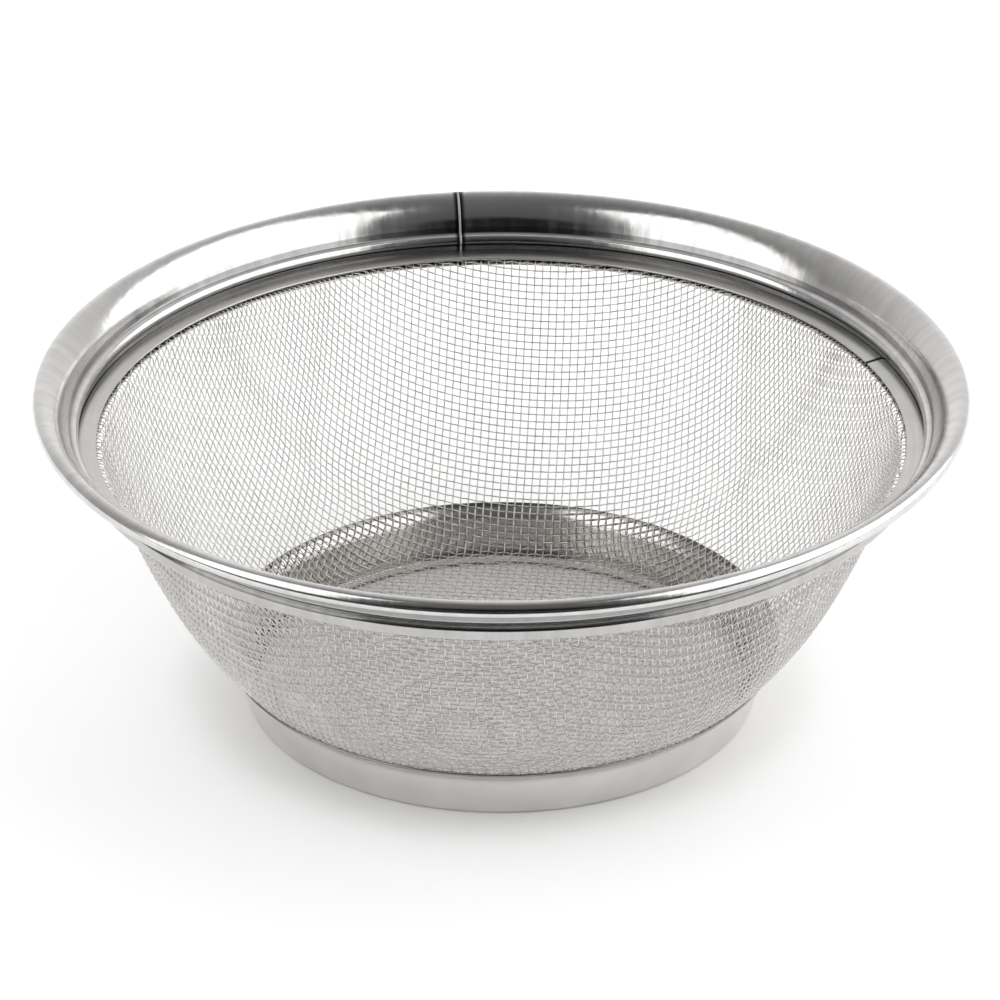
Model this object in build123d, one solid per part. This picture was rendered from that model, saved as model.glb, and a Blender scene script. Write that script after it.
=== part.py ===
from build123d import *
import os
from math import atan2, cos, degrees, radians, sin, tan

# Stainless steel mesh bowl strainer. Millimetres, +Z up.
# The origin is the centre of the circle that the foot ring stands on.
# Every section is drawn as (radius, height) in the XZ plane and turned about Z.

# Driving dimensions
rim_radius = 100.0  # outermost radius of the rolled rim edge
rim_height = 74.4  # top of the rolled rim edge
sheet = 0.5  # sheet metal of the rim band and the foot ring
wire = 0.32  # wire of the woven cloth
play = 0.03  # gap between pieces that are pressed together

# Rim band: the edge curls outward and under, and runs into the flange's wide rollover
curl_radius = 1.7
curl_start = -160  # where the sheet's own edge ends, tucked in under the flange
curl_end = 117  # where the curl meets the rollover
rollover_radius = 9.2
flange_slope = 71  # of the flange at its foot, from horizontal
ridge_top_height = 66.5
ridge_foot = (91.2, 66.1)
neck = (90.7, 65.0)
hem_shoulder = (91.45, 64.0)
hem_heel = (90.9, 61.63)
hem_edge = (86.95, 61.11)
seam_azimuth = 95.9  # of the butt weld that closes the band
seam_width = 0.5
weld_thickness = 0.64  # stands a little proud of the sheet, inside and out

# Clamp ring: a flat ring that presses the cloth's edge onto the hem
clamp_outer = (90.8, 62.83)
clamp_inner = (86.9, 62.31)
clamp_thickness = 0.5
clamp_edge = 0.2  # radius of its edges
joint_azimuth = 21.5  # of its butt joint
joint_gap = 0.4

# Cloth bowl, at the middle of the cloth
cloth_edge_radius = 89.9
cloth_edge_slope = 7.5  # degrees that the clamped edge falls inward
cloth_bend = 0.9  # bend radius under the clamp ring
wall_top = (85.6, 61.0)
wall_middle = (74.75, 33.3)
wall_foot = (60.4, 12.5)
wall_foot_slope = 47  # degrees from horizontal, also of the foot ring's lip
lip_length = 3.6  # stretch along which cloth and foot ring lie together
cloth_corner = (55.2, 2.8)
throat_radius = 4.0
corner_radius = 2.0

# Foot ring
foot_lip_length = 3.2
foot_outer_radius = 56.3
foot_inner_radius = 52.95
foot_hem_bend = 0.8

cloth = 2 * wire  # thickness where two wires cross


def strip_section(edges, thickness):
    """The face covered by a strip of this thickness whose middle line is these edges."""
    outline = Wire(edges).offset_2d(thickness / 2, kind=Kind.ARC, side=Side.BOTH, closed=True)
    return make_face(outline.edges())


def turn(section, start=0.0, angle=360.0):
    """Revolve a (radius, height) section about Z, from one azimuth on."""
    return Rot(0, 0, start) * revolve(Plane.XZ * section, Axis.Z, angle)


def rim_line():
    """Middle line of the rim band, from the curl's hidden edge to the hem under the cloth."""
    curl_centre = Vector(rim_radius - curl_radius, rim_height - curl_radius)
    outward = Vector(cos(radians(curl_end)), sin(radians(curl_end)))
    rollover_centre = curl_centre - outward * (rollover_radius - curl_radius)
    rollover_sweep = 90 + flange_slope - curl_end
    curl = CenterArc(curl_centre, curl_radius - sheet / 2, curl_start, curl_end - curl_start)
    rollover = CenterArc(rollover_centre, rollover_radius - sheet / 2, curl_end, rollover_sweep)
    start = rollover @ 1
    drop = start.Y - ridge_top_height
    ridge_top = (start.X - drop / tan(radians(flange_slope)), ridge_top_height)
    corners = [start, ridge_top, ridge_foot, neck, hem_shoulder, hem_heel, hem_edge]
    wall = FilletPolyline(*corners, radius=[0.6, 0.4, 0.4, 0.5, 0.8])
    return [*curl.edges(), *rollover.edges(), *wall.edges()]


def make_rim_band():
    """The band is one strip, rolled round until its two ends nearly meet."""
    gap = degrees(seam_width / rim_radius)
    return turn(strip_section(rim_line(), sheet), seam_azimuth + gap / 2, 360 - gap)


def make_rim_weld():
    """Weld bead that fills the gap between the band's two ends, flush where the cloth lies."""
    gap = degrees(seam_width / rim_radius)
    above_neck = Rectangle(3 * rim_radius, rim_height, align=(Align.CENTER, Align.MIN))
    bead = strip_section(rim_line(), weld_thickness) & (Pos(0, neck[1]) * above_neck)
    return turn(strip_section(rim_line(), sheet) + bead, seam_azimuth - gap / 2, gap)


def make_clamp_ring():
    """Flat ring with rounded edges, open at its butt joint."""
    gap = degrees(joint_gap / clamp_outer[0])
    across = Line(clamp_inner, clamp_outer)
    tilt = degrees(atan2((across % 0).Y, (across % 0).X))
    strip = RectangleRounded(across.length, clamp_thickness, clamp_edge)
    section = Pos(across @ 0.5) * Rot(0, 0, tilt) * strip
    return turn(section, joint_azimuth + gap / 2, 360 - gap)


def lip_direction():
    """Direction in which the cloth's wall runs down into the foot ring."""
    slope = radians(wall_foot_slope)
    return Vector(-cos(slope), -sin(slope))


def make_mesh_bowl():
    """Woven wire cloth pressed to a bowl, as a closed shell of the cloth's thickness."""
    lower_wall = TangentArc(wall_foot, wall_middle, tangent=-lip_direction())
    upper_wall = TangentArc(wall_middle, wall_top, tangent=lower_wall % 1)
    heading = upper_wall % 1
    bend_angle = heading.get_angle(Vector(1, 0)) - cloth_edge_slope
    bend = JernArc(wall_top, heading, cloth_bend, -bend_angle)
    start = bend @ 1
    rise = (cloth_edge_radius - start.X) * tan(radians(cloth_edge_slope))
    edge = Line(start, (cloth_edge_radius, start.Y + rise))
    throat = Vector(*wall_foot) + lip_direction() * lip_length
    centre = (0, cloth_corner[1])
    bottom = FilletPolyline(
        wall_foot, throat, cloth_corner, centre, radius=[throat_radius, corner_radius]
    )
    curves = [bottom, lower_wall, upper_wall, bend, edge]
    line = [piece for curve in curves for piece in curve.edges()]
    right_of_axis = Pos(rim_radius / 2, rim_height / 2) * Rectangle(rim_radius, rim_height)
    return turn(strip_section(line, cloth) & right_of_axis)


def make_foot_ring():
    """Strip whose lip follows the cloth, and whose hem stands flat and turns up under the bowl."""
    direction = lip_direction()
    outward = Vector(-direction.Y, direction.X)
    spacing = cloth / 2 + sheet / 2 + play
    lip = Vector(*wall_foot) + outward * spacing
    throat = lip + direction * foot_lip_length
    base = sheet / 2
    inner = foot_inner_radius + sheet / 2
    corners = [lip, throat, (foot_outer_radius - sheet / 2, base), (inner, base)]
    corners.append((inner, cloth_corner[1] - spacing))
    bends = [throat_radius - spacing, foot_hem_bend, foot_hem_bend]
    line = FilletPolyline(*corners, radius=bends)
    return turn(strip_section(line.edges(), sheet))


parts = {
    "rim_band": make_rim_band(),
    "rim_weld": make_rim_weld(),
    "clamp_ring": make_clamp_ring(),
    "mesh_bowl": make_mesh_bowl(),
    "foot_ring": make_foot_ring(),
}

os.makedirs("parts", exist_ok=True)
for name, solid in parts.items():
    export_step(solid, f"parts/{name}.step")
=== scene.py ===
import math

import bmesh
import bpy
import numpy as np
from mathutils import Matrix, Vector


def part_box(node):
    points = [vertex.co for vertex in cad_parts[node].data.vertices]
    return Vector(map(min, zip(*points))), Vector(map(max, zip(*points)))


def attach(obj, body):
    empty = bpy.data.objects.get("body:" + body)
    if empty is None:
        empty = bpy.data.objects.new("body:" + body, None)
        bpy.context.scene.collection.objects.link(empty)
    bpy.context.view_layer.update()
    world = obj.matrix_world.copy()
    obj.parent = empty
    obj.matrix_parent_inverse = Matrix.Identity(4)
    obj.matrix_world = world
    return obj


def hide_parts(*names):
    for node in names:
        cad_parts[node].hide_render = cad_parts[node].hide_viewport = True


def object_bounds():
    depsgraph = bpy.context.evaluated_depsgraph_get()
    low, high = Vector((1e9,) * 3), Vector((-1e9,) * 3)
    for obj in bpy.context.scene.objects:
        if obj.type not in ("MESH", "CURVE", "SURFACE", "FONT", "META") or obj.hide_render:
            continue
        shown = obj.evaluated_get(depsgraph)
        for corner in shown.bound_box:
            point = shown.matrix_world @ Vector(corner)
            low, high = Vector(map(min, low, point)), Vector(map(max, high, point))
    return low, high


# Stainless steel mesh bowl strainer: the looks. Sizes are millimetres until a mesh is made.
# Sections are drawn as (radius, height) and turned about Z, as in the CAD source.

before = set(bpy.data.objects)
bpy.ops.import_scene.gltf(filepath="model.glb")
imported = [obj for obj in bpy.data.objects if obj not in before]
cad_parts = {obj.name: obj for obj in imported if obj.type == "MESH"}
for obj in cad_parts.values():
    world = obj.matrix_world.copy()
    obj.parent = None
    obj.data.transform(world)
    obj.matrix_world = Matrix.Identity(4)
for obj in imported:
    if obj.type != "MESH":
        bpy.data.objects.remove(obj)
cad_low, cad_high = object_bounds()

MM = 0.001

# Sizes that the whole object shares
SHEET = 0.5
WIRE = 0.32
WARP_PITCH = 1.81  # from one warp wire to the next
WEFT_PITCH = 1.67  # from one weft wire to the next
CLOTH = 2 * WIRE
PLAY = 0.03
WEAVE_TURN = -6.5  # degrees that the weave is turned about the bowl's axis

# Rim band
RIM_RADIUS = cad_high.x / MM
RIM_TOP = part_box("rim_band")[1].z / MM
CURL_RADIUS = 1.7
CURL_START = -160  # where the sheet's own edge ends, tucked in under the flange
CURL_END = 117  # where the curl meets the rollover
ROLLOVER_RADIUS = 9.2
FLANGE_SLOPE = 71  # of the flange at its foot, from horizontal
RIDGE_TOP = 66.5
RIDGE_FOOT = (91.2, 66.1)
NECK = (90.7, 65.0)
HEM_SHOULDER = (91.45, 64.0)
HEM_HEEL = (90.9, 61.63)
HEM_EDGE = (86.95, 61.11)
SEAM_AZIMUTH = 95.9
SEAM_WIDTH = 0.5
WELD_SWELL = 0.14  # how much thicker than the sheet the bead is

# Clamp ring
CLAMP_OUTER = (90.8, 62.83)
CLAMP_INNER = (86.9, 62.31)
CLAMP_THICKNESS = 0.5
CLAMP_EDGE = 0.2  # radius of its edges
JOINT_AZIMUTH = 21.5
JOINT_GAP = 0.4

# Cloth bowl, at the middle of the cloth
WIRE_END_RADIUS = 89.6  # where the wires end, under the clamp ring
CLOTH_EDGE_SLOPE = 7.5  # degrees that the clamped edge falls inward
CLOTH_BEND = 0.9  # bend radius under the clamp ring
WALL_TOP = (85.6, 61.0)
WALL_MIDDLE = (74.75, 33.3)
WALL_FOOT = (60.4, 12.5)
WALL_FOOT_SLOPE = 47  # degrees from horizontal, also of the foot ring's lip
LIP_LENGTH = 3.6  # stretch along which cloth and foot ring lie together
CLOTH_CORNER = (55.2, 2.8)
THROAT_RADIUS = 4.0
CORNER_RADIUS = 2.0

# Foot ring
FOOT_LIP_LENGTH = 3.2
FOOT_OUTER_RADIUS = 56.3
FOOT_INNER_RADIUS = 52.95
FOOT_HEM_BEND = 0.8

# How finely a full turn is cut
TURN_STEPS = 480
RIM_TURN_STEPS = 360


# ---- Sections -------------------------------------------------------------------------------

def towards(angle):
    """Unit vector at an angle in degrees, from outward towards upward."""
    return np.array([math.cos(math.radians(angle)), math.sin(math.radians(angle))])


def arc(centre, radius, start, end, step=0.12):
    """Points of an arc, angles in degrees, about `step` apart."""
    count = max(4, int(abs(math.radians(end - start)) * radius / step))
    angles = np.radians(np.linspace(start, end, count + 1))
    points = np.column_stack([radius * np.cos(angles), radius * np.sin(angles)])
    return np.array(centre) + points


def rounded_line(corners, radii, step=0.12):
    """A polyline with every inner corner rounded to its radius."""
    corners = [np.array(corner, float) for corner in corners]
    pieces = [corners[0][None]]
    for before, corner, after, radius in zip(corners, corners[1:], corners[2:], radii):
        a = (before - corner) / np.linalg.norm(before - corner)
        b = (after - corner) / np.linalg.norm(after - corner)
        half = math.acos(float(np.clip(a @ b, -1, 1))) / 2
        bisector = (a + b) / np.linalg.norm(a + b)
        centre = corner + bisector * radius / math.sin(half)
        first = corner + a * radius / math.tan(half) - centre
        last = corner + b * radius / math.tan(half) - centre
        start = math.degrees(math.atan2(first[1], first[0]))
        sweep = (math.degrees(math.atan2(last[1], last[0])) - start + 180) % 360 - 180
        pieces.append(arc(centre, radius, start, start + sweep, step))
    pieces.append(corners[-1][None])
    return np.concatenate(pieces)


def tangent_arc(start, end, heading, step=1.0):
    """Points of the arc from start to end that leaves start along heading, and its last heading."""
    start, end = np.array(start, float), np.array(end, float)
    normal = np.array([-heading[1], heading[0]])
    chord = end - start
    signed = chord @ chord / (2 * chord @ normal)
    centre = start + normal * signed
    first, last = start - centre, end - centre
    begin = math.degrees(math.atan2(first[1], first[0]))
    sweep = (math.degrees(math.atan2(last[1], last[0])) - begin + 180) % 360 - 180
    points = arc(centre, abs(signed), begin, begin + sweep, step)
    turned = np.array([-last[1], last[0]]) / abs(signed) * math.copysign(1, sweep)
    return points, turned


def tidy(line):
    """The line without points that coincide."""
    keep = [0]
    for index in range(1, len(line)):
        if np.linalg.norm(line[index] - line[keep[-1]]) > 1e-4:
            keep.append(index)
    return line[keep]


def subdivide(line, step):
    """The line with its long straight runs cut to pieces no longer than step."""
    points = [line[:1]]
    for a, b in zip(line, line[1:]):
        count = max(1, int(math.ceil(np.linalg.norm(b - a) / step)))
        points.append(a + (b - a) * np.arange(1, count + 1)[:, None] / count)
    return np.concatenate(points)


def strip(line, thickness, ends=6):
    """Closed outline of a strip of this thickness along a middle line, with rounded edges."""
    line = tidy(line)
    along = np.gradient(line, axis=0)
    along /= np.linalg.norm(along, axis=1)[:, None]
    side = np.column_stack([-along[:, 1], along[:, 0]]) * thickness / 2
    beyond = along * thickness / 2
    turn = np.radians(np.linspace(90, -90, ends + 2)[1:-1])
    far = [line[-1] + side[-1] * math.sin(t) + beyond[-1] * math.cos(t) for t in turn]
    near = [line[0] - side[0] * math.sin(t) - beyond[0] * math.cos(t) for t in turn]
    return np.concatenate([line + side, far, (line - side)[::-1], near])


def rim_line():
    """Middle line of the rim band, from the curl's hidden edge to the hem under the cloth."""
    curl = np.array([RIM_RADIUS - CURL_RADIUS, RIM_TOP - CURL_RADIUS])
    rollover = curl - towards(CURL_END) * (ROLLOVER_RADIUS - CURL_RADIUS)
    top = [
        arc(curl, CURL_RADIUS - SHEET / 2, CURL_START, CURL_END, step=0.2),
        arc(rollover, ROLLOVER_RADIUS - SHEET / 2, CURL_END, 90 + FLANGE_SLOPE, step=0.25)[1:],
    ]
    start = top[1][-1]
    ridge_radius = start[0] - (start[1] - RIDGE_TOP) / math.tan(math.radians(FLANGE_SLOPE))
    corners = [start, (ridge_radius, RIDGE_TOP), RIDGE_FOOT, NECK, HEM_SHOULDER, HEM_HEEL, HEM_EDGE]
    wall = rounded_line(corners, [0.6, 0.4, 0.4, 0.5, 0.8], step=0.08)
    return np.concatenate([*top, wall[1:]])


def cloth_line():
    """Middle line of the cloth, from the axis out to past its clamped edge."""
    up = towards(WALL_FOOT_SLOPE)
    throat = np.array(WALL_FOOT) - up * LIP_LENGTH
    middle = (0, CLOTH_CORNER[1])
    bottom = rounded_line([middle, CLOTH_CORNER, throat, WALL_FOOT], [CORNER_RADIUS, THROAT_RADIUS])
    lower, heading = tangent_arc(WALL_FOOT, WALL_MIDDLE, up)
    upper, heading = tangent_arc(WALL_MIDDLE, WALL_TOP, heading)
    centre = np.array(WALL_TOP) + CLOTH_BEND * np.array([heading[1], -heading[0]])
    wall_slope = math.degrees(math.atan2(heading[1], heading[0]))
    bent = arc(centre, CLOTH_BEND, wall_slope + 90, CLOTH_EDGE_SLOPE + 90)
    past_edge = bent[-1] + 8 * towards(CLOTH_EDGE_SLOPE)
    return tidy(np.concatenate([bottom, lower[1:], upper[1:], bent[1:], past_edge[None]]))


def foot_line():
    """Middle line of the foot ring, from its lip under the cloth to the hem's inner edge."""
    down = -towards(WALL_FOOT_SLOPE)
    spacing = CLOTH / 2 + SHEET / 2 + PLAY
    lip = np.array(WALL_FOOT) + np.array([-down[1], down[0]]) * spacing
    base = SHEET / 2
    inner = FOOT_INNER_RADIUS + SHEET / 2
    corners = [lip, lip + down * FOOT_LIP_LENGTH, (FOOT_OUTER_RADIUS - SHEET / 2, base)]
    corners += [(inner, base), (inner, CLOTH_CORNER[1] - spacing)]
    return rounded_line(corners, [THROAT_RADIUS - spacing, FOOT_HEM_BEND, FOOT_HEM_BEND])


def clamp_outline():
    """Outline of the clamp ring: a flat strip with rounded edges."""
    inner, outer = np.array(CLAMP_INNER), np.array(CLAMP_OUTER)
    along = (outer - inner) / np.linalg.norm(outer - inner)
    side = np.array([-along[1], along[0]]) * (CLAMP_THICKNESS / 2 - CLAMP_EDGE)
    near, far = inner + along * CLAMP_EDGE, outer - along * CLAMP_EDGE
    tilt = math.degrees(math.atan2(along[1], along[0]))
    corners = [far + side, far - side, near - side, near + side]
    starts = [tilt + 90, tilt, tilt - 90, tilt - 180]
    edges = [arc(corner, CLAMP_EDGE, start, start - 90) for corner, start in zip(corners, starts)]
    return np.concatenate(edges)


# ---- Meshes ---------------------------------------------------------------------------------

def new_object(name, vertices, faces):
    """A smooth mesh object from millimetre points."""
    mesh = bpy.data.meshes.new(name)
    mesh.from_pydata((np.asarray(vertices) * MM).tolist(), [], faces)
    mesh.polygons.foreach_set("use_smooth", [True] * len(mesh.polygons))
    mesh.update()
    piece = bpy.data.objects.new(name, mesh)
    bpy.context.scene.collection.objects.link(piece)
    return piece


def revolve(name, outlines, start=0.0, sweep=360.0):
    """Turn a closed outline about Z. outlines holds one (radius, height) outline per ring."""
    closed = sweep >= 360
    rings = len(outlines)
    segments = rings if closed else rings - 1
    azimuths = np.radians(start + sweep * np.arange(rings) / segments)
    count = len(outlines[0])
    radii, heights = np.array(outlines)[..., 0], np.array(outlines)[..., 1]
    cos, sin = np.cos(azimuths)[:, None], np.sin(azimuths)[:, None]
    points = np.stack([radii * cos, radii * sin, heights], -1).reshape(-1, 3)
    faces = []
    for ring in range(segments):
        here, after = ring * count, (ring + 1) % rings * count
        for k in range(count):
            following = (k + 1) % count
            faces.append((here + k, here + following, after + following, after + k))
    if not closed:
        faces.append(tuple(range(count - 1, -1, -1)))
        faces.append(tuple(segments * count + k for k in range(count)))
    piece = new_object(name, points, faces)
    fix_normals(piece, [] if closed else [len(faces) - 2, len(faces) - 1])
    return piece


def fix_normals(piece, caps):
    """Turn all faces outward, and give the caps a crease all round."""
    bm = bmesh.new()
    bm.from_mesh(piece.data)
    bm.faces.ensure_lookup_table()
    for index in caps:
        bm.faces[index].smooth = False
        for edge in bm.faces[index].edges:
            edge.smooth = False
    bmesh.ops.recalc_face_normals(bm, faces=bm.faces)
    bm.to_mesh(piece.data)
    bm.free()


# ---- Woven cloth ----------------------------------------------------------------------------

class Surface:
    """The cloth's middle surface. A point is (x, y) in a plane where distance from the middle is
    the length along the bowl's meridian."""

    def __init__(self, line):
        self.line = line
        steps = np.linalg.norm(np.diff(line, axis=0), axis=1)
        self.lengths = np.concatenate([[0], np.cumsum(steps)])
        slopes = np.gradient(line, self.lengths, axis=0)
        self.slopes = slopes / np.linalg.norm(slopes, axis=1)[:, None]

    def radius_and_height(self, distance):
        radius = np.interp(distance, self.lengths, self.line[:, 0])
        return radius, np.interp(distance, self.lengths, self.line[:, 1])

    def point(self, flat):
        distance = np.hypot(flat[..., 0], flat[..., 1])
        radius, height = self.radius_and_height(distance)
        scale = np.where(distance > 1e-9, radius / np.maximum(distance, 1e-9), 1.0)
        return np.stack([flat[..., 0] * scale, flat[..., 1] * scale, height], -1)

    def normal(self, flat):
        """Unit normal on the inside of the bowl."""
        distance = np.hypot(flat[..., 0], flat[..., 1])
        out = np.interp(distance, self.lengths, self.slopes[:, 0])
        up = np.interp(distance, self.lengths, self.slopes[:, 1])
        inward = -flat / np.maximum(distance, 1e-9)[..., None]
        normal = np.stack([inward[..., 0] * up, inward[..., 1] * up, out], -1)
        return normal / np.hypot(out, up)[..., None]

    def distance_at_radius(self, radius):
        return float(np.interp(radius, self.line[:, 0], self.lengths))


def crossings(surface, count):
    """Where the wires of one quarter of the cloth cross, in the plane of Surface. Woven cloth
    shears at its crossings but its wires don't stretch, so each crossing lies one pitch from the
    two before it."""
    places = np.zeros((count + 1, count + 1, 2))
    for pitch, axis in ((WARP_PITCH, places[:, 0, 0]), (WEFT_PITCH, places[0, :, 1])):
        for index in range(1, count + 1):
            last = surface.point(np.array([axis[index - 1], 0.0]))
            guess = axis[index - 1] + pitch
            for _ in range(20):
                guess -= np.linalg.norm(surface.point(np.array([guess, 0.0])) - last) - pitch
            axis[index] = guess
    nudge = 1e-4
    for diagonal in range(2, 2 * count + 1):
        i = np.arange(max(1, diagonal - count), min(count, diagonal - 1) + 1)
        j = diagonal - i
        left, below = surface.point(places[i - 1, j]), surface.point(places[i, j - 1])
        flat = places[i - 1, j] + places[i, j - 1] - places[i - 1, j - 1]
        for _ in range(25):
            here = surface.point(flat)
            by_x = (surface.point(flat + [nudge, 0]) - here) / nudge
            by_y = (surface.point(flat + [0, nudge]) - here) / nudge
            to_left, to_below = here - left, here - below
            miss_a = (to_left ** 2).sum(-1) - WARP_PITCH ** 2
            miss_b = (to_below ** 2).sum(-1) - WEFT_PITCH ** 2
            a, b = 2 * (to_left * by_x).sum(-1), 2 * (to_left * by_y).sum(-1)
            c, d = 2 * (to_below * by_x).sum(-1), 2 * (to_below * by_y).sum(-1)
            area = a * d - b * c
            area = np.where(np.abs(area) < 1e-6, 1e-6, area)
            step = np.stack([miss_a * d - miss_b * b, a * miss_b - c * miss_a], -1) / area[:, None]
            size = np.linalg.norm(step, axis=-1, keepdims=True)
            flat = flat - step * np.minimum(1, WARP_PITCH / 2 / np.maximum(size, 1e-12))
        places[i, j] = flat
    return places


def whole_cloth(quarter):
    """Mirror one quarter of the crossings to all four, and turn the weave about the axis."""
    count = len(quarter) - 1
    index = np.arange(-count, count + 1)
    sign = np.where(index < 0, -1.0, 1.0)
    flat = quarter[np.abs(index)[:, None], np.abs(index)[None, :]].copy()
    flat[..., 0] *= sign[:, None]
    flat[..., 1] *= sign[None, :]
    turn = math.radians(WEAVE_TURN)
    x = flat[..., 0] * math.cos(turn) - flat[..., 1] * math.sin(turn)
    y = flat[..., 0] * math.sin(turn) + flat[..., 1] * math.cos(turn)
    return np.stack([x, y], -1)


def through(points, parts):
    """A smooth line through the points, with `parts` steps from each to the next."""
    before = np.concatenate([2 * points[:1] - points[1:2], points[:-2]])
    after = np.concatenate([points[2:], 2 * points[-1:] - points[-2:-1]])
    start, end = points[:-1], points[1:]
    share = (np.arange(parts) / parts)[None, :, None]
    s2, s3 = share ** 2, share ** 3
    line = start[:, None] * (2 * s3 - 3 * s2 + 1) + end[:, None] * (3 * s2 - 2 * s3)
    line += (end - before)[:, None] / 2 * (s3 - 2 * s2 + share)
    line += (after - start)[:, None] / 2 * (s3 - s2)
    return np.concatenate([line.reshape(-1, points.shape[1]), points[-1:]])


def wire_tube(surface, flat, phase, parts, sides):
    """Points and faces of one woven wire. phase is 0 where it starts over, 1 under."""
    line = through(flat, parts)
    weave = np.arange(len(line)) / parts + phase
    normal = surface.normal(line)
    middle = surface.point(line) + normal * (WIRE / 2 * np.cos(math.pi * weave))[:, None]
    along = np.gradient(middle, axis=0)
    along /= np.linalg.norm(along, axis=1)[:, None]
    across = np.cross(along, normal)
    across /= np.linalg.norm(across, axis=1)[:, None]
    upward = np.cross(across, along)
    turns = (np.arange(sides) * 2 * math.pi / sides)[None, :, None]
    ring = across[:, None] * np.cos(turns) + upward[:, None] * np.sin(turns)
    points = middle[:, None] + ring * WIRE / 2
    rows = len(line)
    k = np.arange(rows - 1)[:, None] * sides
    j = np.arange(sides)[None, :]
    following = (j + 1) % sides
    quads = np.stack([k + j, k + following, k + sides + following, k + sides + j], -1)
    return points.reshape(-1, 3), quads.reshape(-1, 4)


def wire_mesh(name, tubes, sides):
    """One object from many wires, with a cap on each end."""
    points, quads, caps, offset = [], [], [], 0
    for vertices, faces in tubes:
        points.append(vertices)
        quads.append(faces + offset)
        last = offset + len(vertices)
        caps.append(np.arange(offset + sides - 1, offset - 1, -1))
        caps.append(np.arange(last - sides, last))
        offset = last
    points, quads, caps = np.concatenate(points) * MM, np.concatenate(quads), np.array(caps)
    mesh = bpy.data.meshes.new(name)
    mesh.vertices.add(len(points))
    mesh.vertices.foreach_set("co", points.astype(np.float32).ravel())
    loops = np.concatenate([quads.ravel(), caps.ravel()])
    mesh.loops.add(len(loops))
    mesh.loops.foreach_set("vertex_index", loops.astype(np.int32))
    sizes = np.concatenate([np.full(len(quads), 4), np.full(len(caps), sides)])
    mesh.polygons.add(len(sizes))
    starts = np.concatenate([[0], np.cumsum(sizes)[:-1]])
    mesh.polygons.foreach_set("loop_start", starts.astype(np.int32))
    mesh.polygons.foreach_set("use_smooth", [True] * len(sizes))
    mesh.update(calc_edges=True)
    mesh.validate()
    piece = bpy.data.objects.new(name, mesh)
    bpy.context.scene.collection.objects.link(piece)
    return piece


def make_cloth(pieces=4):
    """The woven cloth: two families of wires, each in a few pieces of like size."""
    surface = Surface(cloth_line())
    edge = surface.distance_at_radius(WIRE_END_RADIUS)
    count = int(edge / WEFT_PITCH) + 3
    flat = whole_cloth(crossings(surface, count))
    parts, sides = 4, 6
    families = {"warp_wires": [], "weft_wires": []}
    for row in range(2 * count + 1):
        for family, line in (("warp_wires", flat[row]), ("weft_wires", flat[:, row])):
            inside = np.nonzero(np.hypot(line[:, 0], line[:, 1]) < edge)[0]
            if len(inside) < 4:
                continue
            phase = (row + inside[0]) % 2 + (family == "weft_wires")
            families[family].append(wire_tube(surface, line[inside], phase, parts, sides))
    made = []
    for family, tubes in families.items():
        total = sum(len(vertices) for vertices, _ in tubes)
        groups, size = [[]], 0
        for tube in tubes:
            if size > total / pieces * len(groups):
                groups.append([])
            groups[-1].append(tube)
            size += len(tube[0])
        for number, group in enumerate(groups, 1):
            made.append(wire_mesh(f"{family}_{number}", group, sides))
    return made


# ---- Materials ------------------------------------------------------------------------------

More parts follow.
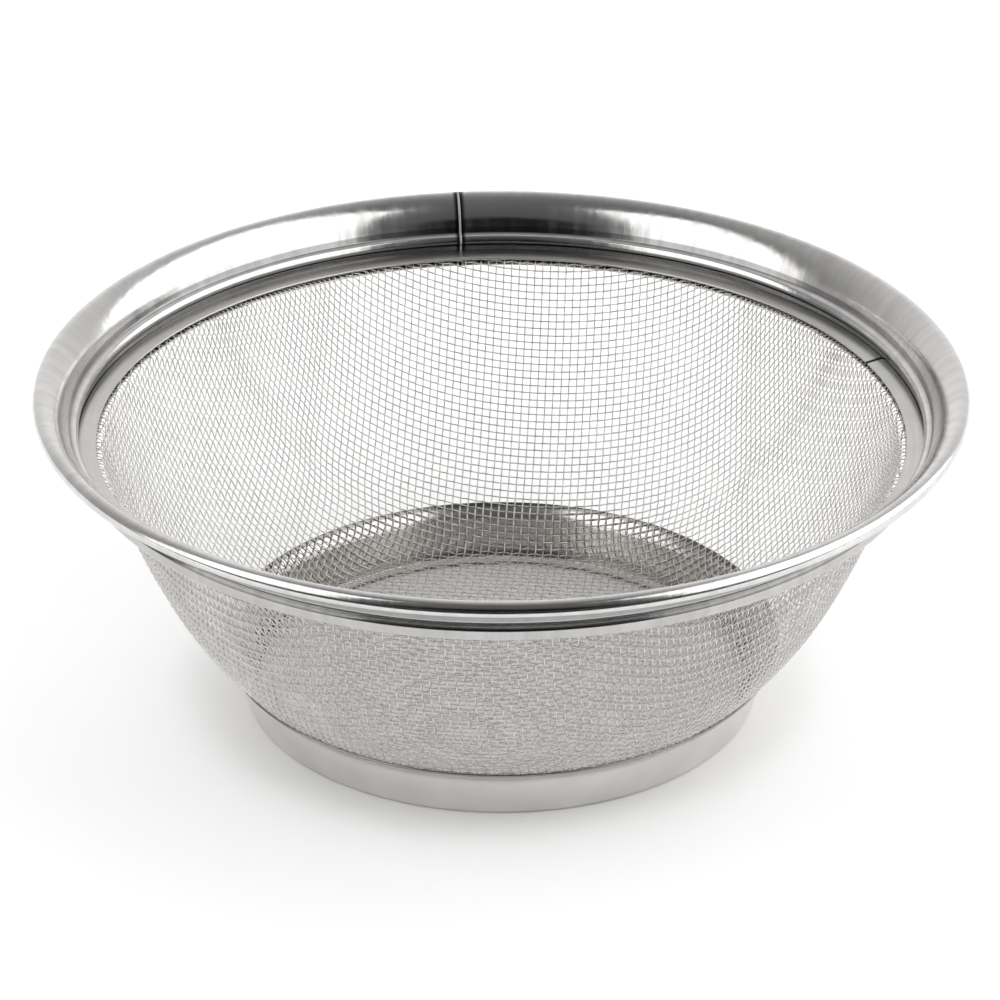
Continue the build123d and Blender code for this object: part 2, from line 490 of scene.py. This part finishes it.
class Look:
    """One material, with short ways to add the shader nodes that its steel needs."""

    def __init__(self, name, metallic):
        self.material = bpy.data.materials.new(name)
        self.material.use_nodes = True
        self.nodes = self.material.node_tree.nodes
        self.links = self.material.node_tree.links
        self.inputs = self.nodes["Principled BSDF"].inputs
        self.inputs["Metallic"].default_value = metallic
        self.place = self.nodes.new("ShaderNodeTexCoord").outputs["Object"]

    def show(self, name, socket):
        """Lead a socket into one of the shader's inputs."""
        self.links.new(socket, self.inputs[name])

    def math(self, operation, first, second):
        """The result of an operation on two sockets, or on a socket and a number."""
        node = self.nodes.new("ShaderNodeMath")
        node.operation = operation
        self.links.new(first, node.inputs[0])
        if isinstance(second, float):
            node.inputs[1].default_value = second
        else:
            self.links.new(second, node.inputs[1])
        return node.outputs[0]

    def around(self):
        """Sockets with a point's azimuth in radians, and its radius and height in metres."""
        parts = self.nodes.new("ShaderNodeSeparateXYZ")
        self.links.new(self.place, parts.inputs[0])
        flat = self.nodes.new("ShaderNodeCombineXYZ")
        flat.inputs["Z"].default_value = 0.0
        self.links.new(parts.outputs["X"], flat.inputs["X"])
        self.links.new(parts.outputs["Y"], flat.inputs["Y"])
        radius = self.nodes.new("ShaderNodeVectorMath")
        radius.operation = "LENGTH"
        self.links.new(flat.outputs[0], radius.inputs[0])
        azimuth = self.math("ARCTAN2", parts.outputs["Y"], parts.outputs["X"])
        return azimuth, radius.outputs["Value"], parts.outputs["Z"]

    def stretched(self, sockets, scale):
        """A place for textures: three sockets, each times its own scale."""
        joined = self.nodes.new("ShaderNodeCombineXYZ")
        for socket, target in zip(sockets, joined.inputs):
            self.links.new(socket, target)
        mapping = self.nodes.new("ShaderNodeMapping")
        mapping.inputs["Scale"].default_value = scale
        self.links.new(joined.outputs[0], mapping.inputs["Vector"])
        return mapping.outputs[0]

    def noise(self, place, scale, detail):
        """A socket with a cloudy pattern about 0.5."""
        node = self.nodes.new("ShaderNodeTexNoise")
        node.inputs["Scale"].default_value = scale
        node.inputs["Detail"].default_value = detail
        self.links.new(place, node.inputs["Vector"])
        return node.outputs["Fac"]

    def ramp(self, value, start, end, low=0.0, high=1.0):
        """A socket that goes from low where value is start to high where it is end."""
        node = self.nodes.new("ShaderNodeMapRange")
        node.inputs["From Min"].default_value = start
        node.inputs["From Max"].default_value = end
        node.inputs["To Min"].default_value = low
        node.inputs["To Max"].default_value = high
        self.links.new(value, node.inputs["Value"])
        return node.outputs["Result"]

    def between(self, value, low, high, soft=0.15):
        """1 where value, in metres, lies between low and high, in millimetres."""
        above = self.ramp(value, (low - soft) * MM, (low + soft) * MM)
        below = self.ramp(value, (high + soft) * MM, (high - soft) * MM)
        return self.math("MULTIPLY", above, below)

    def cloudy(self, color, scale, detail, low):
        """The color, with clouds in which it is multiplied by low."""
        tint = self.nodes.new("ShaderNodeValToRGB")
        dark, light = tint.color_ramp.elements
        dark.position, light.position = 0.3, 0.7
        dark.color = (*[c * low for c in color], 1)
        light.color = (*color, 1)
        self.links.new(self.noise(self.place, scale, detail), tint.inputs["Fac"])
        return tint.outputs["Color"]

    def darker(self, color, share, level):
        """The color, multiplied by level where share is 1."""
        mix = self.nodes.new("ShaderNodeMix")
        mix.data_type = "RGBA"
        mix.blend_type = "MULTIPLY"
        self.links.new(share, mix.inputs["Factor"])
        self.links.new(color, mix.inputs[6])
        mix.inputs[7].default_value = (level, level, level, 1)
        return mix.outputs[2]

    def relief(self, height, depth, under=None):
        """The normal of a relief, depth in millimetres, that lies on the relief under it."""
        node = self.nodes.new("ShaderNodeBump")
        node.inputs["Strength"].default_value = 1.0
        node.inputs["Distance"].default_value = depth * MM
        self.links.new(height, node.inputs["Height"])
        if under is not None:
            self.links.new(under, node.inputs["Normal"])
        return node.outputs["Normal"]


def steel(
    name, color, roughness, streak_scale, bump,
    spread=0.05, waves=0.0, stain=None, painted_shade=(), smudge=0.0, metallic=1.0,
):
    """Stainless steel whose fine lines run round the ring, with cloudy variation.
    spread: how much the lines change its roughness. smudge: how much they change its tone.
    bump: depth of the lines. waves: depth of its slight unevenness.
    stain: azimuth, radius and half width of a heat mark.
    painted_shade: heights and radii between which shade is painted into the colour, as in a fold,
    and how dark."""
    look = Look(name, metallic)
    azimuth, radius, height = look.around()
    streaks = look.noise(look.stretched((azimuth, radius, height), streak_scale), 1.0, 4.0)
    shown = look.cloudy(color, 90.0, 3.0, 0.9)
    shown = look.darker(shown, look.ramp(streaks, 0.35, 0.75), 1 - smudge)
    if stain is not None:
        stain_azimuth, stain_radius, half_width = stain
        aside = look.math("SUBTRACT", azimuth, math.radians(stain_azimuth))
        away = look.math("ABSOLUTE", aside, 0.0)
        reach = half_width / stain_radius
        shown = look.darker(shown, look.ramp(away, reach, reach / 2), 0.1)
    # Painted shade: in each band the colour is darkened, as shade in a fold, step or edge.
    for heights, radii, level in painted_shade:
        inside = look.math("MULTIPLY", look.between(height, *heights), look.between(radius, *radii))
        shown = look.darker(shown, inside, level)
    look.show("Base Color", shown)
    look.show("Roughness", look.ramp(streaks, 0.3, 0.7, roughness - spread, roughness + spread))
    uneven = look.relief(look.noise(look.place, 190.0, 1.5), waves) if waves > 0 else None
    look.show("Normal", look.relief(streaks, bump, uneven))
    return look.material


def wire_steel(name, color, roughness):
    """Bright drawn wire, with a slight change of tone from place to place."""
    look = Look(name, 0.94)
    look.inputs["Roughness"].default_value = roughness
    look.show("Base Color", look.cloudy(color, 160.0, 2.0, 0.85))
    return look.material


def plain(name, color, roughness):
    """The studio's own surfaces."""
    material = bpy.data.materials.new(name)
    material.use_nodes = True
    shader = material.node_tree.nodes["Principled BSDF"]
    shader.inputs["Base Color"].default_value = (*color, 1)
    shader.inputs["Roughness"].default_value = roughness
    return material


# ---- Pieces ---------------------------------------------------------------------------------

def settle(piece, node, material):
    """Give a finished piece its material and its body, and hide the CAD node that it stands in for.
    """
    piece.data.materials.clear()
    piece.data.materials.append(material)
    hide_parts(node)
    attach(piece, "root")


rim_steel = steel(
    "rim_steel", (0.75, 0.74, 0.73), roughness=0.18, streak_scale=(45.0, 60.0, 60.0), bump=0.02,
    waves=0.05, stain=(SEAM_AZIMUTH, RIM_RADIUS, 1.5), smudge=0.13,
    # Painted shade: dark bands painted into the colour at the flange's foot, over the clamp ring,
    # below the neck and on the hem's outside.
    painted_shade=[
        ((66.6, 68.0), (91.3, 93.3), 0.5),  # the flange's foot
        ((62.9, 65.4), (80, 91.33), 0.35),  # over the clamp ring
        ((64.0, 65.3), (91.33, 92.5), 0.3),  # outside, below the neck
        ((60, 64.0), (91.1, 92.5), 0.75),  # the hem's outside
    ],
)
weld_steel = steel(
    "weld_steel", (0.42, 0.41, 0.40), roughness=0.45, streak_scale=(600.0, 900.0, 900.0), bump=0.004,
    spread=0.08, metallic=0.5,
)
clamp_steel = steel(
    "clamp_steel", (0.66, 0.65, 0.64), roughness=0.3, streak_scale=(4.0, 2000.0, 2000.0), bump=0.003,
    waves=0.02, stain=(JOINT_AZIMUTH, CLAMP_OUTER[0], 0.7),
)
foot_steel = steel(
    "foot_steel", (0.76, 0.745, 0.72), roughness=0.19, streak_scale=(4.0, 3000.0, 3000.0), bump=0.003,
    waves=0.01,
    # Painted shade: dark bands painted into the colour at the lip's edge and inside the hem.
    painted_shade=[
        ((11.6, 14.0), (50, 62), 0.4),  # the lip's edge
        ((-1, 1.0), (50, 55.6), 0.4),  # the hem's inside
    ],
)
cloth_steel = wire_steel("cloth_steel", (0.78, 0.76, 0.74), 0.38)


def make_rim():
    """The band's sheet, open at its seam, and the bead that fills the seam."""
    middle = subdivide(rim_line(), 0.5)
    gap = math.degrees(SEAM_WIDTH / RIM_RADIUS)
    sections = [strip(middle, SHEET)] * (RIM_TURN_STEPS + 1)
    band = revolve("rim_band_sheet", sections, SEAM_AZIMUTH + gap / 2, 360 - gap)
    settle(band, "rim_band", rim_steel)
    swell = WELD_SWELL * np.sin(np.pi * np.arange(13) / 12)
    sections = [strip(middle, SHEET + extra) for extra in swell]
    bead = revolve("rim_weld_bead", sections, SEAM_AZIMUTH - gap / 2, gap)
    settle(bead, "rim_weld", weld_steel)


def make_clamp():
    """The clamp ring's strip, open at its butt joint."""
    gap = math.degrees(JOINT_GAP / CLAMP_OUTER[0])
    sections = [clamp_outline()] * (TURN_STEPS + 1)
    clamp = revolve("clamp_strip", sections, JOINT_AZIMUTH + gap / 2, 360 - gap)
    settle(clamp, "clamp_ring", clamp_steel)


def make_foot():
    """The foot ring's sheet, from its lip to its hem."""
    section = strip(subdivide(foot_line(), 0.5), SHEET)
    foot = revolve("foot_ring_sheet", [section] * TURN_STEPS)
    settle(foot, "foot_ring", foot_steel)


make_rim()
make_clamp()
make_foot()
for wires in make_cloth():
    settle(wires, "mesh_bowl", cloth_steel)


# ---- Studio ---------------------------------------------------------------------------------

def make_round(name, radius, height, material):
    """A flat round surface of the studio, in metres."""
    mesh = bpy.data.meshes.new(name)
    corners = 96
    turns = np.arange(corners) * 2 * math.pi / corners
    points = [(radius * math.cos(t), radius * math.sin(t), height) for t in turns]
    mesh.from_pydata(points, [], [tuple(range(corners))])
    surface = bpy.data.objects.new(name, mesh)
    bpy.context.scene.collection.objects.link(surface)
    mesh.materials.append(material)


def make_floor():
    """A round floor that ends before the softboxes, and a grey disc inside the foot ring that paints
    the shadow there, where little light comes through the cloth."""
    make_round("floor", 1.15, 0.0, plain("floor_white", (0.93, 0.93, 0.93), 0.6))
    # Painted shadow: a grey disc on the floor stands in for the shade under the bowl.
    make_round("disc", 0.053, 0.0001, plain("floor_shade", (0.66, 0.645, 0.63), 0.6))


def make_card():
    """A black card in front, which only bright metal mirrors."""
    mesh = bpy.data.meshes.new("card")
    half, near, far, height = 1.5, -0.18, -2.5, 0.001
    corners = [(-half, far), (half, far), (half, near), (-half, near)]
    mesh.from_pydata([(x, y, height) for x, y in corners], [], [(0, 1, 2, 3)])
    card = bpy.data.objects.new("card", mesh)
    bpy.context.scene.collection.objects.link(card)
    mesh.materials.append(plain("card_black", (0.01, 0.01, 0.01), 0.8))
    card.visible_camera = False
    card.visible_diffuse = False
    card.visible_shadow = False


def make_softbox(name, azimuth, half_angle, top_angle, radiance, distance=1.2):
    """An upright softbox that faces the bowl's axis. It starts at the rim's height and ends where
    it is seen from there at top_angle. azimuth is its middle, from +X towards +Y, in degrees."""
    a = math.radians(azimuth)
    width = 2 * distance * math.tan(math.radians(half_angle))
    height = distance * math.tan(math.radians(top_angle))
    light = bpy.data.lights.new(name, "AREA")
    light.shape = "RECTANGLE"
    light.size = width
    light.size_y = height
    light.energy = radiance * math.pi * width * height
    lamp = bpy.data.objects.new(name, light)
    outward = Vector((math.cos(a), math.sin(a), 0))
    lamp.location = outward * distance + Vector((0, 0, cad_high.z + height / 2))
    lamp.rotation_euler = outward.to_track_quat("Z", "Y").to_euler()
    bpy.context.scene.collection.objects.link(lamp)


def make_floor_light():
    """A large overhead light that only matt surfaces show, so that the floor looks white."""
    light = bpy.data.lights.new("floor_light", "AREA")
    light.shape = "RECTANGLE"
    light.size = 6.0
    light.size_y = 6.0
    light.energy = 100.0
    lamp = bpy.data.objects.new("floor_light", light)
    lamp.location = (0, 0, 3.0)
    lamp.visible_glossy = False
    bpy.context.scene.collection.objects.link(lamp)


def make_world():
    """A room that is light beyond the bowl and darker on the camera's side."""
    world = bpy.data.worlds.new("studio")
    bpy.context.scene.world = world
    world.use_nodes = True
    nodes, links = world.node_tree.nodes, world.node_tree.links
    background = nodes["Background"]
    place = nodes.new("ShaderNodeTexCoord")
    parts = nodes.new("ShaderNodeSeparateXYZ")
    links.new(place.outputs["Generated"], parts.inputs[0])
    depth = nodes.new("ShaderNodeMapRange")
    depth.inputs["From Min"].default_value = -1.0
    depth.inputs["From Max"].default_value = 1.0
    links.new(parts.outputs["Y"], depth.inputs["Value"])
    shade = nodes.new("ShaderNodeValToRGB")
    ramp = shade.color_ramp
    stops = {-1.0: 0.01, -0.91: 0.012, -0.87: 0.1, -0.3: 0.14, 0.0: 0.2}
    stops.update({0.2: 0.38, 0.45: 0.52, 0.75: 0.78, 0.95: 1.0})
    while len(ramp.elements) < len(stops):
        ramp.elements.new(0.5)
    for element, (place_y, level) in zip(ramp.elements, stops.items()):
        element.position = (place_y + 1) / 2
        element.color = (level, level, level, 1)
    links.new(depth.outputs["Result"], shade.inputs["Fac"])
    path = nodes.new("ShaderNodeLightPath")
    seen = nodes.new("ShaderNodeMix")
    seen.data_type = "FLOAT"
    links.new(path.outputs["Is Camera Ray"], seen.inputs["Factor"])
    links.new(shade.outputs["Color"], seen.inputs[2])
    seen.inputs[3].default_value = 0.95
    links.new(seen.outputs[0], background.inputs["Strength"])
    background.inputs["Color"].default_value = (1, 1, 1, 1)


def make_camera():
    """The camera stands in front of the bowl and looks down at it. Its place is measured from
    the centre of the rim's rolled edge, in metres."""
    aside, back, up, down_angle = -0.00026, 0.8719, 0.4319, 27.80
    camera = bpy.data.cameras.new("camera")
    camera.sensor_width = 36.0
    camera.lens = 163.6
    camera.clip_start = 0.05
    camera.clip_end = 50.0
    stand = bpy.data.objects.new("camera", camera)
    rim_centre_height = cad_high.z - CURL_RADIUS * MM
    stand.location = (aside, -back, rim_centre_height + up)
    stand.rotation_euler = (math.radians(90 - down_angle), 0, 0)
    bpy.context.scene.collection.objects.link(stand)
    bpy.context.scene.camera = stand


make_floor()
make_card()
make_softbox("softbox_right", azimuth=-7, half_angle=43, top_angle=67, radiance=1.6)
make_softbox("softbox_left", azimuth=-152, half_angle=25, top_angle=63, radiance=1.6)
make_floor_light()
make_world()
make_camera()
bpy.context.scene.view_settings.view_transform = "Standard"
